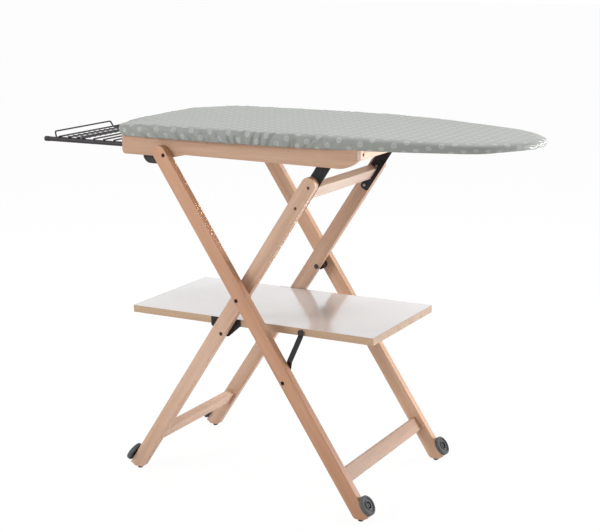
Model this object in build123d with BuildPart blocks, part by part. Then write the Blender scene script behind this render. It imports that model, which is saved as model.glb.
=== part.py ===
# Folding beech ironing board with a linen shelf and a pull-out iron rest.
# Millimetres. +X points to the nose of the board, +Y away from the viewer, +Z up.
# The floor is z = 0 and the origin is under the middle of the whole object.
import os
from math import cos, radians, sin, sqrt

from build123d import *

os.makedirs("parts", exist_ok=True)

# Timber stock
leg_width = 37.0
leg_thickness = 20.0
rail_thickness = 19.0
stretcher_width = 37.0
stretcher_thickness = 20.0
edge_round = 1.5

# Widths across the object, from the outside in
width_over_legs = 471.0
side_play = 0.75
outer_face = width_over_legs / 2
outer_inside = outer_face - leg_thickness
rail_outside = outer_inside - side_play
rail_inside = rail_outside - rail_thickness
inner_face = rail_inside - side_play
inner_inside = inner_face - leg_thickness
outer_mid = outer_face - leg_thickness / 2
rail_mid = rail_outside - rail_thickness / 2
inner_mid = inner_face - leg_thickness / 2

# Where the two pairs of legs cross, and how they lean
cross_x = -40.0
cross_z = 503.8
outer_lean = radians(56.84)
inner_lean = radians(56.44)

# Outer legs, measured along the leg from the crossing and across it
outer_low_edge = -6.9
outer_high_edge = outer_low_edge + leg_width
outer_round_at = 404.0
top_pivot = (394.2, 19.7)
stay_pivot = (-227.2, 2.5)
outer_stretcher_off = 6.0

# Inner legs
inner_low_edge = -6.3
inner_high_edge = inner_low_edge + leg_width
inner_round_at = 338.5
shelf_pivot = (-123.6, 3.0)
bracket_screw_spots = ((334.3, 7.7), (272.0, 8.4))
inner_stretcher_off = 12.2
head_stretcher_at = (312.0, 13.8)
head_stretcher_width = 34.0
rod_off = 14.0
rod_radius = 5.0

# Feet: cut level with the floor on the inner side and square on the wheel side
foot_cut = 5.5
outer_stretcher_rise = 109.5
inner_stretcher_rise = 112.8
foot_chamfer = 3.0
toe_share = 0.55
glide_radius = 6.5
glide_height = 12.0
tenon_length = 12.0
tenon_width = 25.0
tenon_thickness = 10.0

# Wheels
wheel_radius = 25.0
wheel_width = 11.0
wheel_gap = 3.0
wheel_rise = 26.5
tyre_thickness = 4.0
hub_recess = 4.8
axle_radius = 3.0

# Pivot hardware
pin_recess = 6.5
bolt_radius = 4.0
bolt_head_radius = 5.2
bolt_recess = 7.0
running_fit = 0.06

# Board and rails
rail_over_pivot = 44.42
rail_left = cross_x - 335.0
rail_right = cross_x + 315.3
block_depth = 50.6
block_right = cross_x - 183.0
waist_x = cross_x - 150.0
waist_depth = 43.3
tail_x = cross_x + 262.0
tail_depth = 48.2
tail_end_depth = 28.0
cross_bar_thickness = 19.0
nose_bar_depth = 29.0
heel_bar_depth = 18.0
bar_bolt_depth = 17.0
panel_thickness = 12.0
pad_thickness = 12.5
cover_thickness = 1.5
hem_drop = 5.0
crown_rise = 3.0
crown_run = 18.0
hem_tuck = 3.0
shoulder_round = 8.0
board_overhang = 21.25
board_half = rail_outside + board_overhang
board_left = cross_x - 358.0
board_nose = cross_x + 680.0
end_bow = 900.0

# Linen shelf
shelf_left = cross_x - 349.3
shelf_right = cross_x + 336.9
shelf_over_pin = 35.64
shelf_thickness = 18.0
shelf_play = 0.6
shelf_plate = 2.0
edging = 1.0
shelf_half = inner_inside - shelf_play - shelf_plate
stay_pivot_x = cross_x + 144.8
stay_pivot_depth = 10.1
stay_thickness = 3.0
stay_width = 13.0

# Iron rest
tube_radius = 6.0
tube_to_rail = 10.75
tube_y = rail_inside - tube_to_rail
tube_depth = 32.0
tube_left = cross_x - 598.0
tube_right = cross_x - 90.0
wire_radius = 2.0
wire_spots = (-552.0, -522.0, -494.0, -442.0, -411.0, -379.0, -346.0)
thick_wire_spot = -477.0
guard_spot = -570.0
guard_rise = 10.5
guard_lean = 6.0
guard_width = 245.0
link_count = 10

# Latch
latch_thickness = 3.0
latch_pull = 15.0


def on_outer(along, off):
    """World x and z of a spot on the outer legs."""
    x = cross_x - along * cos(outer_lean) + off * sin(outer_lean)
    z = cross_z + along * sin(outer_lean) + off * cos(outer_lean)
    return x, z


def on_inner(along, off):
    """World x and z of a spot on the inner legs."""
    x = cross_x + along * cos(inner_lean) - off * sin(inner_lean)
    z = cross_z + along * sin(inner_lean) + off * cos(inner_lean)
    return x, z


def outer_plane(y):
    """Plane of the outer legs: local x runs up the leg."""
    direction = (-cos(outer_lean), 0, sin(outer_lean))
    return Plane(origin=(cross_x, y, cross_z), x_dir=direction, z_dir=(0, 1, 0))


def inner_plane(y):
    """Plane of the inner legs: local x runs up the leg."""
    direction = (cos(inner_lean), 0, sin(inner_lean))
    return Plane(origin=(cross_x, y, cross_z), x_dir=direction, z_dir=(0, -1, 0))


def side_plane(y):
    """Upright plane along the board: local x is +X and local y is +Z."""
    return Plane(origin=(0, y, 0), x_dir=(1, 0, 0), z_dir=(0, -1, 0))


def save(part, name):
    part.label = name
    export_step(part, f"parts/{name}.step")


# The cross rod sits as far from the crossing as the top pivot does
pivot_reach = sqrt(top_pivot[0] ** 2 + top_pivot[1] ** 2)
rod_spot = (sqrt(pivot_reach ** 2 - rod_off ** 2), rod_off)
rod_x, rod_z = on_inner(*rod_spot)
pivot_x, pivot_z = on_outer(*top_pivot)
stay_x, stay_z = on_outer(*stay_pivot)
shelf_pin_x, shelf_pin_z = on_inner(*shelf_pivot)
rod_slope = (pivot_z - rod_z) / (rod_x - pivot_x)

# Heights that hang from the top pivot and the shelf pin
rail_top = pivot_z + rail_over_pivot
block_bottom = rail_top - block_depth
waist_z = rail_top - waist_depth
tail_z = rail_top - tail_depth
tail_end_z = rail_top - tail_end_depth
tube_z = rail_top - tube_depth
shelf_top = shelf_pin_z + shelf_over_pin
stay_shelf_pivot = (stay_pivot_x, shelf_top - stay_pivot_depth)


def rod_line(x):
    """Height of the rod's path under the board."""
    return pivot_z - (x - pivot_x) * rod_slope


def foot_along(off, lean):
    """Distance along a leg at which it comes down to the level cut of its foot."""
    return (foot_cut - cross_z - off * cos(lean)) / sin(lean)


outer_toe = outer_low_edge + toe_share * leg_width
outer_end = foot_along(outer_toe, outer_lean)
outer_heel = outer_low_edge + foot_chamfer
outer_heel_along = foot_along(outer_heel, outer_lean)
outer_foot_x = (on_outer(outer_end, outer_toe)[0] + on_outer(outer_heel_along, outer_heel)[0]) / 2
wheel_along_outer = outer_end + wheel_rise
outer_stretcher_at = (outer_end + outer_stretcher_rise, outer_stretcher_off)

inner_toe = inner_low_edge + toe_share * leg_width
inner_end = foot_along(inner_toe, inner_lean)
inner_heel = inner_low_edge + foot_chamfer
inner_heel_along = foot_along(inner_heel, inner_lean)
inner_foot_x = (on_inner(inner_end, inner_toe)[0] + on_inner(inner_heel_along, inner_heel)[0]) / 2
wheel_along_inner = inner_end + wheel_rise
inner_stretcher_at = (inner_end + inner_stretcher_rise, inner_stretcher_off)

sides = (("near", -1), ("far", 1))


# Outer legs
def outer_leg(side):
    middle = (outer_low_edge + outer_high_edge) / 2
    with BuildPart() as leg:
        with BuildSketch(outer_plane(side * outer_mid)):
            with BuildLine():
                Polyline(
                    (outer_round_at, outer_high_edge),
                    (outer_end, outer_high_edge),
                    (outer_end, outer_toe),
                    (outer_heel_along, outer_heel),
                    (outer_heel_along + 2 * foot_chamfer, outer_low_edge),
                    (outer_round_at, outer_low_edge),
                )
                ThreePointArc(
                    (outer_round_at, outer_low_edge),
                    (outer_round_at + leg_width / 2, middle),
                    (outer_round_at, outer_high_edge),
                )
            make_face()
        extrude(amount=leg_thickness / 2, both=True)
        faces = leg.faces().sort_by(Axis.Y)
        fillet(faces[0].edges() + faces[-1].edges(), edge_round)
        with BuildSketch(outer_plane(side * outer_mid)):
            with Locations(top_pivot, (0, 0), stay_pivot):
                Circle(bolt_radius + running_fit)
        extrude(amount=leg_thickness, both=True, mode=Mode.SUBTRACT)
        with BuildSketch(outer_plane(side * outer_face)):
            with Locations(top_pivot, (0, 0), stay_pivot):
                Circle(bolt_head_radius + running_fit)
        extrude(amount=-side * bolt_recess, mode=Mode.SUBTRACT)
        with BuildSketch(outer_plane(side * outer_inside)):
            with Locations(outer_stretcher_at):
                Rectangle(tenon_width + 0.2, tenon_thickness + 0.2)
        extrude(amount=side * (tenon_length + 0.3), mode=Mode.SUBTRACT)
        with Locations((outer_foot_x, side * outer_mid, 0)):
            Cylinder(
                glide_radius + 0.05, glide_height + 0.1, mode=Mode.SUBTRACT,
                align=(Align.CENTER, Align.CENTER, Align.MIN),
            )
        edge_x, edge_z = on_outer(wheel_along_outer, outer_high_edge)
        edge = Plane(
            origin=(edge_x, side * outer_mid, edge_z),
            z_dir=(sin(outer_lean), 0, cos(outer_lean)),
        )
        with BuildSketch(edge):
            Circle(2.3)
        extrude(amount=-22, mode=Mode.SUBTRACT)
    return leg.part


for word, side in sides:
    save(outer_leg(side), f"{word}_outer_leg")

with BuildPart() as outer_stretcher:
    with BuildSketch(outer_plane(0)):
        with Locations(outer_stretcher_at):
            Rectangle(stretcher_width, stretcher_thickness)
    extrude(amount=outer_inside, both=True)
    fillet(outer_stretcher.edges().filter_by(Axis.Y), edge_round)
    with BuildSketch(outer_plane(0)):
        with Locations(outer_stretcher_at):
            Rectangle(tenon_width, tenon_thickness)
    extrude(amount=outer_inside + tenon_length, both=True)
save(outer_stretcher.part, "outer_stretcher")


# Inner legs
def inner_leg(side):
    middle = (inner_low_edge + inner_high_edge) / 2
    with BuildPart() as leg:
        with BuildSketch(inner_plane(side * inner_mid)):
            with BuildLine():
                Polyline(
                    (inner_round_at, inner_high_edge),
                    (inner_end, inner_high_edge),
                    (inner_end, inner_toe),
                    (inner_heel_along, inner_heel),
                    (inner_heel_along + 2 * foot_chamfer, inner_low_edge),
                    (inner_round_at, inner_low_edge),
                )
                ThreePointArc(
                    (inner_round_at, inner_low_edge),
                    (inner_round_at + leg_width / 2, middle),
                    (inner_round_at, inner_high_edge),
                )
            make_face()
        extrude(amount=leg_thickness / 2, both=True)
        faces = leg.faces().sort_by(Axis.Y)
        fillet(faces[0].edges() + faces[-1].edges(), edge_round)
        with BuildSketch(inner_plane(side * inner_mid)):
            with Locations((0, 0)):
                Circle(bolt_radius + running_fit)
            with Locations(shelf_pivot, *bracket_screw_spots):
                Circle(3 + running_fit)
        extrude(amount=leg_thickness, both=True, mode=Mode.SUBTRACT)
        with BuildSketch(inner_plane(side * inner_face)):
            with Locations(shelf_pivot):
                Circle(5 + running_fit)
        extrude(amount=side * pin_recess, mode=Mode.SUBTRACT)
        with BuildSketch(inner_plane(side * inner_face)):
            with Locations(*bracket_screw_spots):
                Circle(4.2)
        extrude(amount=side * 5, mode=Mode.SUBTRACT)
        with BuildSketch(inner_plane(side * inner_inside)):
            with Locations((0, 0)):
                Circle(7 + running_fit)
        extrude(amount=-side * 7, mode=Mode.SUBTRACT)
        with BuildSketch(inner_plane(side * inner_inside)):
            with Locations(inner_stretcher_at, head_stretcher_at):
                Rectangle(tenon_width + 0.2, tenon_thickness + 0.2)
        extrude(amount=-side * (tenon_length + 0.3), mode=Mode.SUBTRACT)
        with Locations((inner_foot_x, side * inner_mid, 0)):
            Cylinder(
                glide_radius + 0.05, glide_height + 0.1, mode=Mode.SUBTRACT,
                align=(Align.CENTER, Align.CENTER, Align.MIN),
            )
        edge_x, edge_z = on_inner(wheel_along_inner, inner_high_edge)
        edge = Plane(
            origin=(edge_x, side * inner_mid, edge_z),
            z_dir=(-sin(inner_lean), 0, cos(inner_lean)),
        )
        with BuildSketch(edge):
            Circle(2.3)
        extrude(amount=-22, mode=Mode.SUBTRACT)
    return leg.part


for word, side in sides:
    save(inner_leg(side), f"{word}_inner_leg")

with BuildPart() as inner_stretcher:
    with BuildSketch(inner_plane(0)):
        with Locations(inner_stretcher_at):
            Rectangle(stretcher_width, stretcher_thickness)
    extrude(amount=inner_inside, both=True)
    fillet(inner_stretcher.edges().filter_by(Axis.Y), edge_round)
    with BuildSketch(inner_plane(0)):
        with Locations(inner_stretcher_at):
            Rectangle(tenon_width, tenon_thickness)
    extrude(amount=inner_inside + tenon_length, both=True)
save(inner_stretcher.part, "inner_foot_stretcher")

with BuildPart() as head_stretcher:
    with BuildSketch(inner_plane(0)):
        with Locations(head_stretcher_at):
            Rectangle(head_stretcher_width, stretcher_thickness)
    extrude(amount=inner_inside, both=True)
    fillet(head_stretcher.edges().filter_by(Axis.Y), edge_round)
    with BuildSketch(inner_plane(0)):
        with Locations(head_stretcher_at):
            Rectangle(tenon_width, tenon_thickness)
    extrude(amount=inner_inside + tenon_length, both=True)
save(head_stretcher.part, "inner_head_stretcher")

# Black plates at the head of the inner legs, notched round the stretcher
plate_thickness = 2.5
plate_left = 23.0
plate_low = bracket_screw_spots[1][0] - 10
plate_high = rod_spot[0] + 11.5
notch_low = head_stretcher_at[0] - head_stretcher_width / 2 - 0.2
notch_high = head_stretcher_at[0] + head_stretcher_width / 2 + 0.2
notch_off = head_stretcher_at[1] - stretcher_thickness / 2 - 0.2


def is_plate_end(edge):
    """True for the outer corner edges of a top bracket."""
    centre = inner_plane(0).to_local_coords(edge.center())
    return centre.X > plate_high - 6 or (centre.X < plate_low + 4 and abs(centre.Y) > 5)


def top_bracket(side):
    mid = inner_inside - plate_thickness / 2
    with BuildPart() as plate:
        with BuildSketch(inner_plane(side * mid)):
            with BuildLine():
                Polyline(
                    (plate_low, inner_low_edge),
                    (plate_high, inner_low_edge),
                    (plate_high, plate_left + 2),
                    (notch_high, plate_left + 2),
                    (notch_high, notch_off),
                    (notch_low, notch_off),
                    (notch_low, 17.5),
                    (plate_low, 17.5),
                    close=True,
                )
            make_face()
            with Locations(rod_spot):
                Circle(rod_radius + 0.05, mode=Mode.SUBTRACT)
            with Locations(*bracket_screw_spots):
                Circle(3 + running_fit, mode=Mode.SUBTRACT)
        extrude(amount=plate_thickness / 2, both=True)
        tall = plate.edges().filter_by(Axis.Y).filter_by(GeomType.LINE)
        ends = [edge for edge in tall if is_plate_end(edge)]
        fillet(ends, 7)
    return plate.part


for word, side in sides:
    save(top_bracket(side), f"{word}_top_bracket")

rod_half = inner_face - 1.0
with BuildPart() as cross_rod:
    with BuildSketch(side_plane(0)):
        with Locations((rod_x, rod_z)):
            Circle(rod_radius)
    extrude(amount=rod_half, both=True)
    chamfer(cross_rod.edges().filter_by(GeomType.CIRCLE), 0.8)
save(cross_rod.part, "cross_rod")

with BuildPart() as bracket_screws:
    for word, side in sides:
        with BuildSketch(inner_plane(side * (inner_inside - plate_thickness))):
            with Locations(*bracket_screw_spots):
                Circle(3)
        extrude(amount=-side * (plate_thickness + leg_thickness - 6))
        with BuildSketch(inner_plane(side * (inner_inside - plate_thickness))):
            with Locations(*bracket_screw_spots):
                Circle(3.6)
        extrude(amount=side * 2)
        with BuildSketch(inner_plane(side * (inner_inside - plate_thickness - 2))):
            with Locations(*bracket_screw_spots):
                RegularPolygon(1.6, 6)
        extrude(amount=-side * 1.4, mode=Mode.SUBTRACT)
save(bracket_screws.part, "top_bracket_screws")


# Pivot bolts. Each runs along Y from a head let into the outer leg
def pivot_bolts(spot, inner_end_y, nut_radius, nut_length):
    with BuildPart() as bolts:
        for word, side in sides:
            with BuildSketch(side_plane(side * (outer_face - 2))):
                with Locations(spot):
                    Circle(bolt_head_radius)
            extrude(amount=side * (bolt_recess - 2))
            with BuildSketch(side_plane(side * (outer_face - 2))):
                with Locations(spot):
                    Circle(bolt_radius)
            extrude(amount=side * (outer_face - 2 - inner_end_y))
            if nut_radius > 0:
                with BuildSketch(side_plane(side * inner_end_y)):
                    with Locations(spot):
                        Circle(nut_radius)
                extrude(amount=-side * nut_length)
            with BuildSketch(side_plane(side * (outer_face - 2))):
                with Locations(spot):
                    RegularPolygon(3, 6)
            extrude(amount=side * 3, mode=Mode.SUBTRACT)
    return bolts.part


save(pivot_bolts((pivot_x, pivot_z), rail_inside + 0.5, 0, 0), "top_pivot_bolts")
save(
    pivot_bolts((cross_x, cross_z), inner_inside + 0.5, 7.0, 6.3),
    "crossing_bolts",
)
stay_y = outer_inside - 0.3 - stay_thickness / 2
save(
    pivot_bolts((stay_x, stay_z), stay_y - stay_thickness / 2 - 3.3, 6.5, 3.0),
    "stay_pivot_bolts",
)

with BuildPart() as crossing_spacers:
    for word, side in sides:
        with BuildSketch(side_plane(side * (outer_inside - 0.1))):
            with Locations((cross_x, cross_z)):
                Circle(12)
                Circle(bolt_radius + running_fit, mode=Mode.SUBTRACT)
        extrude(amount=side * (outer_inside - inner_face - 0.3))
save(crossing_spacers.part, "crossing_spacers")

with BuildPart() as shelf_pins:
    for word, side in sides:
        with BuildSketch(side_plane(side * (inner_face - 3))):
            with Locations((shelf_pin_x, shelf_pin_z)):
                Circle(5)
        extrude(amount=side * (pin_recess - 3.2))
        with BuildSketch(side_plane(side * (inner_face - 3))):
            with Locations((shelf_pin_x, shelf_pin_z)):
                Circle(3)
        extrude(amount=side * (inner_face - shelf_half - 0.4))
        with BuildSketch(side_plane(side * (shelf_half - 0.3))):
            with Locations((shelf_pin_x, shelf_pin_z)):
                Circle(5.5)
        extrude(amount=side * 2.3)
save(shelf_pins.part, "shelf_pivot_pins")


# Feet
def glides(foot_x, y):
    with BuildPart() as pair:
        with Locations((foot_x, -y, 0), (foot_x, y, 0)):
            Cylinder(
                glide_radius, glide_height, align=(Align.CENTER, Align.CENTER, Align.MIN)
            )
        fillet(pair.edges().group_by(Axis.Z)[0], 1.5)
    return pair.part


save(glides(outer_foot_x, outer_mid), "outer_foot_glides")
save(glides(inner_foot_x, inner_mid), "inner_foot_glides")


# Wheels. The wheel axis points out of the leg's edge
def wheel_plane(kind, y, out):
    if kind == "outer":
        x, z = on_outer(wheel_along_outer, outer_high_edge + out)
        axis = (sin(outer_lean), 0, cos(outer_lean))
    else:
        x, z = on_inner(wheel_along_inner, inner_high_edge + out)
        axis = (-sin(inner_lean), 0, cos(inner_lean))
    return Plane(origin=(x, y, z), x_dir=(0, 1, 0), z_dir=axis)


def tyre(kind, y):
    with BuildPart() as ring:
        with BuildSketch(wheel_plane(kind, y, wheel_gap)):
            Circle(wheel_radius)
            Circle(wheel_radius - tyre_thickness, mode=Mode.SUBTRACT)
        extrude(amount=wheel_width)
        rims = ring.edges().filter_by(GeomType.CIRCLE).group_by(SortBy.RADIUS)[-1]
        fillet(rims, 3)
    return ring.part


def hub(kind, y):
    with BuildPart() as disc:
        with BuildSketch(wheel_plane(kind, y, wheel_gap + 0.5)):
            Circle(wheel_radius - tyre_thickness)
        extrude(amount=wheel_width - 1)
        with BuildSketch(wheel_plane(kind, y, wheel_gap + wheel_width - 0.5)):
            Circle(9)
        extrude(amount=-hub_recess, mode=Mode.SUBTRACT)
        with BuildSketch(wheel_plane(kind, y, wheel_gap + wheel_width - 0.5)):
            Circle(wheel_radius - tyre_thickness - 2.5)
            Circle(12, mode=Mode.SUBTRACT)
        extrude(amount=-1.5, mode=Mode.SUBTRACT)
        with BuildSketch(wheel_plane(kind, y, wheel_gap)):
            Circle(axle_radius + running_fit)
        extrude(amount=wheel_width, mode=Mode.SUBTRACT)
    return disc.part


def axles(kind, y):
    with BuildPart() as pair:
        for centre in (-y, y):
            with BuildSketch(wheel_plane(kind, centre, 0)):
                Circle(7)
            extrude(amount=wheel_gap)
            with BuildSketch(wheel_plane(kind, centre, wheel_gap)):
                Circle(axle_radius)
            extrude(amount=wheel_width - 5)
            with BuildSketch(wheel_plane(kind, centre, wheel_gap + wheel_width - 5)):
                Circle(5.5)
            extrude(amount=3)
            with BuildSketch(wheel_plane(kind, centre, wheel_gap + wheel_width - 2)):
                RegularPolygon(2.2, 6)
            extrude(amount=-2, mode=Mode.SUBTRACT)
            with BuildSketch(wheel_plane(kind, centre, 0)):
                Circle(2.2)
            extrude(amount=-20)
    return pair.part


for kind, y in (("outer", outer_mid), ("inner", inner_mid)):
    save(axles(kind, y), f"{kind}_wheel_axles")
    for word, side in sides:
        save(tyre(kind, side * y), f"{word}_{kind}_wheel_tyre")
        save(hub(kind, side * y), f"{word}_{kind}_wheel_hub")


# Rails under the board
def rail(side):
    with BuildPart() as bar:
        with BuildSketch(side_plane(side * rail_mid)) as outline:
            with BuildLine():
                Polyline(
                    (rail_right, tail_end_z),
                    (rail_right, rail_top),
                    (rail_left, rail_top),
                    (rail_left, block_bottom),
                    (block_right, block_bottom),
                    (waist_x, waist_z),
                    (tail_x, tail_z),
                )
                ThreePointArc(
                    (tail_x, tail_z),
                    (tail_x + 34, tail_z + 6.5),
                    (rail_right, tail_end_z),
                )
            make_face()
            corners = outline.vertices()
            fillet(corners.filter_by_position(Axis.X, rail_left - 1, rail_left + 1)
                   .sort_by(Axis.Y)[0], 10)
            fillet(corners.filter_by_position(Axis.X, block_right - 1, block_right + 1), 24)
            fillet(corners.filter_by_position(Axis.X, waist_x - 1, waist_x + 1), 45)
        extrude(amount=rail_thickness / 2, both=True)
        with BuildSketch(side_plane(side * rail_mid)):
            with Locations((pivot_x, pivot_z)):
                Circle(bolt_radius + running_fit)
        extrude(amount=rail_thickness, both=True, mode=Mode.SUBTRACT)
        faces = bar.faces().sort_by(Axis.Y)
        face = faces[0] if side < 0 else faces[-1]
        fillet(face.outer_wire().edges().filter_by(lambda e: e.center().Z < rail_top - 1), 1.2)
    return bar.part


for word, side in sides:
    save(rail(side), f"{word}_rail")

bolt_spots = (
    (-rail_inside + 13, rail_top - bar_bolt_depth),
    (rail_inside - 13, rail_top - bar_bolt_depth),
)
with BuildPart() as nose_bar:
    with BuildSketch(side_plane(0)):
        with Locations((rail_right - cross_bar_thickness / 2, rail_top - nose_bar_depth / 2)):
            Rectangle(cross_bar_thickness, nose_bar_depth)
    extrude(amount=rail_inside, both=True)
    fillet(nose_bar.edges().filter_by(Axis.Y).group_by(Axis.Z)[0], 1.5)
    end = Plane(origin=(rail_right, 0, 0), x_dir=(0, 1, 0), z_dir=(1, 0, 0))
    with BuildSketch(end):
        with Locations(*bolt_spots):
            Circle(4)
    extrude(amount=-14, mode=Mode.SUBTRACT)
save(nose_bar.part, "nose_cross_bar")

with BuildPart() as heel_bar:
    with BuildSketch(side_plane(0)):
        with Locations((rail_left + cross_bar_thickness / 2, rail_top - heel_bar_depth / 2)):
            Rectangle(cross_bar_thickness, heel_bar_depth)
    extrude(amount=rail_inside, both=True)
    fillet(heel_bar.edges().filter_by(Axis.Y).group_by(Axis.Z)[0], 1.5)
save(heel_bar.part, "heel_cross_bar")

with BuildPart() as bar_nuts:
    with BuildSketch(end.offset(-1.5)):
        with Locations(*bolt_spots):
            Circle(3.95)
    extrude(amount=-12.5)
    with BuildSketch(end.offset(-1.5)):
        with Locations(*bolt_spots):
            RegularPolygon(2.2, 6)
    extrude(amount=-4, mode=Mode.SUBTRACT)
save(bar_nuts.part, "cross_bar_nuts")


# Outline of the board: straight runs joined by arcs, set in from the cover's outside
half_outline = (
    (board_left + 7, board_half - 10, 0.195 * board_half),
    (cross_x - 150, board_half, 1500),
    (cross_x + 90, board_half - 1, 900),
    (cross_x + 350, board_half - 20, 1200),
    (board_nose - 0.403 * board_half, 0.64 * board_half, 0.72 * board_half),
    (board_nose - 0.0805 * board_half, 0.315 * board_half, 0.593 * board_half),
    (board_nose, 0.128 * board_half, 0.318 * board_half),
)


def board_outline(inset):
    with BuildSketch() as flat:
        with BuildLine():
            upper = [(x, half) for x, half, radius in half_outline]
            lower = [(x, -half) for x, half, radius in reversed(half_outline)]
            Polyline((board_left, 0), *upper, *lower, close=True)
        make_face()
        for x, half, radius in half_outline:
            spot = flat.vertices().filter_by_position(Axis.X, x - 0.5, x + 0.5)
            fillet(spot.filter_by(lambda v: abs(abs(v.Y) - half) < 0.5), radius)
        fillet(flat.vertices().sort_by(Axis.X)[0], end_bow)
        if inset > 0:
            offset(amount=-inset, mode=Mode.REPLACE)
    return flat.sketch


panel_top = rail_top + panel_thickness
board_top = panel_top + pad_thickness + cover_thickness


def padded_form(inset, low_z, drop, edge):
    """Crowned block with rounded shoulders and sides drawn in towards the hem."""
    shoulder_z = rail_top + 8
    crown_z = board_top - drop - crown_rise
    with BuildPart() as form:
        with BuildSketch(Plane.XY.offset(shoulder_z)):
            add(board_outline(inset))
        extrude(amount=crown_z - shoulder_z)
        with BuildSketch(Plane.XY.offset(crown_z)):
            add(board_outline(inset))
        with BuildSketch(Plane.XY.offset(crown_z + crown_rise)):
            add(board_outline(inset + crown_run))
        loft(ruled=True)
        rim = form.edges().filter_by(
            lambda e: abs(e.center().Z - crown_z) < 0.01 and e.bounding_box().size.Z < 0.01)
        fillet(rim, edge)
        if low_z < shoulder_z:
            with BuildSketch(Plane.XY.offset(low_z)):
                add(board_outline(inset + hem_tuck))
            with BuildSketch(Plane.XY.offset(shoulder_z)):
                add(board_outline(inset))
            loft(ruled=True)
    return form.part


with BuildPart() as panel:
    add(extrude(Location((0, 0, rail_top)) * board_outline(7), amount=panel_thickness))
    chamfer(panel.edges().group_by(Axis.Z)[-1], 1)
save(panel.part, "board_panel")

with BuildPart() as pad:
    add(padded_form(cover_thickness + 0.3, rail_top + 8, cover_thickness + 0.3,
                    shoulder_round - cover_thickness - 0.3))
    with Locations(((board_left + board_nose) / 2, 0, panel_top)):
        Box(
            board_nose - board_left + 20, 2 * board_half + 20, 4 * panel_thickness,
            mode=Mode.SUBTRACT, align=(Align.CENTER, Align.CENTER, Align.MAX),
        )
save(pad.part, "foam_pad")

with BuildPart() as cover:
    add(padded_form(0, rail_top - hem_drop, 0, shoulder_round))
    add(padded_form(cover_thickness, rail_top - hem_drop - 1, cover_thickness,
                    shoulder_round - cover_thickness), mode=Mode.SUBTRACT)
    with Locations(((rail_left + rail_right) / 2, 0, rail_top)):
        Box(
            rail_right - rail_left + 1, 2 * rail_outside + 1, 20, mode=Mode.SUBTRACT,
            align=(Align.CENTER, Align.CENTER, Align.MAX),
        )
save(cover.part, "board_cover")


# Linen shelf
shelf_bottom = shelf_top - shelf_thickness
shelf_middle_x = (shelf_left + shelf_right) / 2
shelf_length = shelf_right - shelf_left
with BuildPart() as shelf_board:
    with Locations((shelf_middle_x, 0, shelf_bottom + shelf_thickness / 2)):
        Box(shelf_length - 2 * edging, 2 * (shelf_half - edging), shelf_thickness)
save(shelf_board.part, "shelf_board")

with BuildPart() as shelf_edging:
    with Locations((shelf_middle_x, 0, shelf_bottom + shelf_thickness / 2)):
        Box(shelf_length, 2 * shelf_half, shelf_thickness)
        Box(
            shelf_length - 2 * edging, 2 * (shelf_half - edging), shelf_thickness,
            mode=Mode.SUBTRACT,
        )
    fillet(shelf_edging.edges().filter_by(Axis.Z).group_by(
        lambda e: round(abs(e.center().Y)))[-1], 1.2)
save(shelf_edging.part, "shelf_edging")

shelf_screw_spots = (
    (cross_x - 98, shelf_bottom + 9),
    (cross_x - 40, shelf_bottom + 9),
)


def shelf_bracket(side):
    with BuildPart() as plate:
        with BuildSketch(side_plane(side * shelf_half)):
            with BuildLine():
                Polyline(
                    (cross_x - 111, shelf_top),
                    (cross_x - 26.5, shelf_top),
                    (cross_x - 26.5, shelf_bottom + 1.5),
                    (cross_x - 61, shelf_pin_z - 11),
                    (cross_x - 80, shelf_pin_z - 11),
                    (cross_x - 111, shelf_bottom - 4),
                    close=True,
                )
            make_face()
            with Locations((shelf_pin_x, shelf_pin_z)):
                Circle(3 + running_fit, mode=Mode.SUBTRACT)
            with Locations(*shelf_screw_spots):
                Circle(3.05, mode=Mode.SUBTRACT)
        extrude(amount=-side * shelf_plate)
        low = plate.edges().filter_by(Axis.Y).filter_by(GeomType.LINE).group_by(Axis.Z)[0]
        fillet(low, 8)
    return plate.part


for word, side in sides:
    save(shelf_bracket(side), f"{word}_shelf_bracket")

with BuildPart() as shelf_screws:
    for word, side in sides:
        with BuildSketch(side_plane(side * (shelf_half + shelf_plate))):
            with Locations(*shelf_screw_spots):
                Circle(3)
        extrude(amount=side * shelf_plate)
save(shelf_screws.part, "shelf_bracket_screws")

# Stays from the outer legs up to the shelf, cranked inwards near the top
stay_run_x = stay_shelf_pivot[0] - stay_x
stay_run_z = stay_shelf_pivot[1] - stay_z
stay_length = sqrt(stay_run_x ** 2 + stay_run_z ** 2)
stay_up = (stay_run_x / stay_length, 0, stay_run_z / stay_length)
stay_top_y = shelf_half + 0.4 + stay_thickness / 2


def stay(side):
    flat = Plane(
        origin=(stay_x, 0, stay_z), x_dir=stay_up,
        z_dir=(stay_up[2], 0, -stay_up[0]),
    )
    turn = 1 if flat.y_dir.Y > 0 else -1
    bottom = side * turn * stay_y
    top = side * turn * stay_top_y
    with BuildPart() as strap:
        with BuildSketch(flat):
            with BuildLine() as run:
                Polyline(
                    (-stay_width / 2, bottom),
                    (0.44 * stay_length, bottom),
                    (0.91 * stay_length, top),
                    (stay_length + stay_width / 2, top),
                )
                offset(amount=stay_thickness / 2, side=Side.BOTH)
            make_face()
        extrude(amount=stay_width / 2, both=True)
        face_on = Plane(origin=(stay_x, 0, stay_z), x_dir=stay_up, z_dir=(0, -1, 0))
        with BuildSketch(face_on):
            with Locations((stay_length / 2, 0)):
                SlotCenterToCenter(stay_length, stay_width)
        extrude(amount=300, both=True, mode=Mode.INTERSECT)
        with BuildSketch(side_plane(0)):
            with Locations((stay_x, stay_z)):
                Circle(bolt_radius + running_fit)
            with Locations(stay_shelf_pivot):
                Circle(3.05)
        extrude(amount=300, both=True, mode=Mode.SUBTRACT)
    return strap.part


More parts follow.
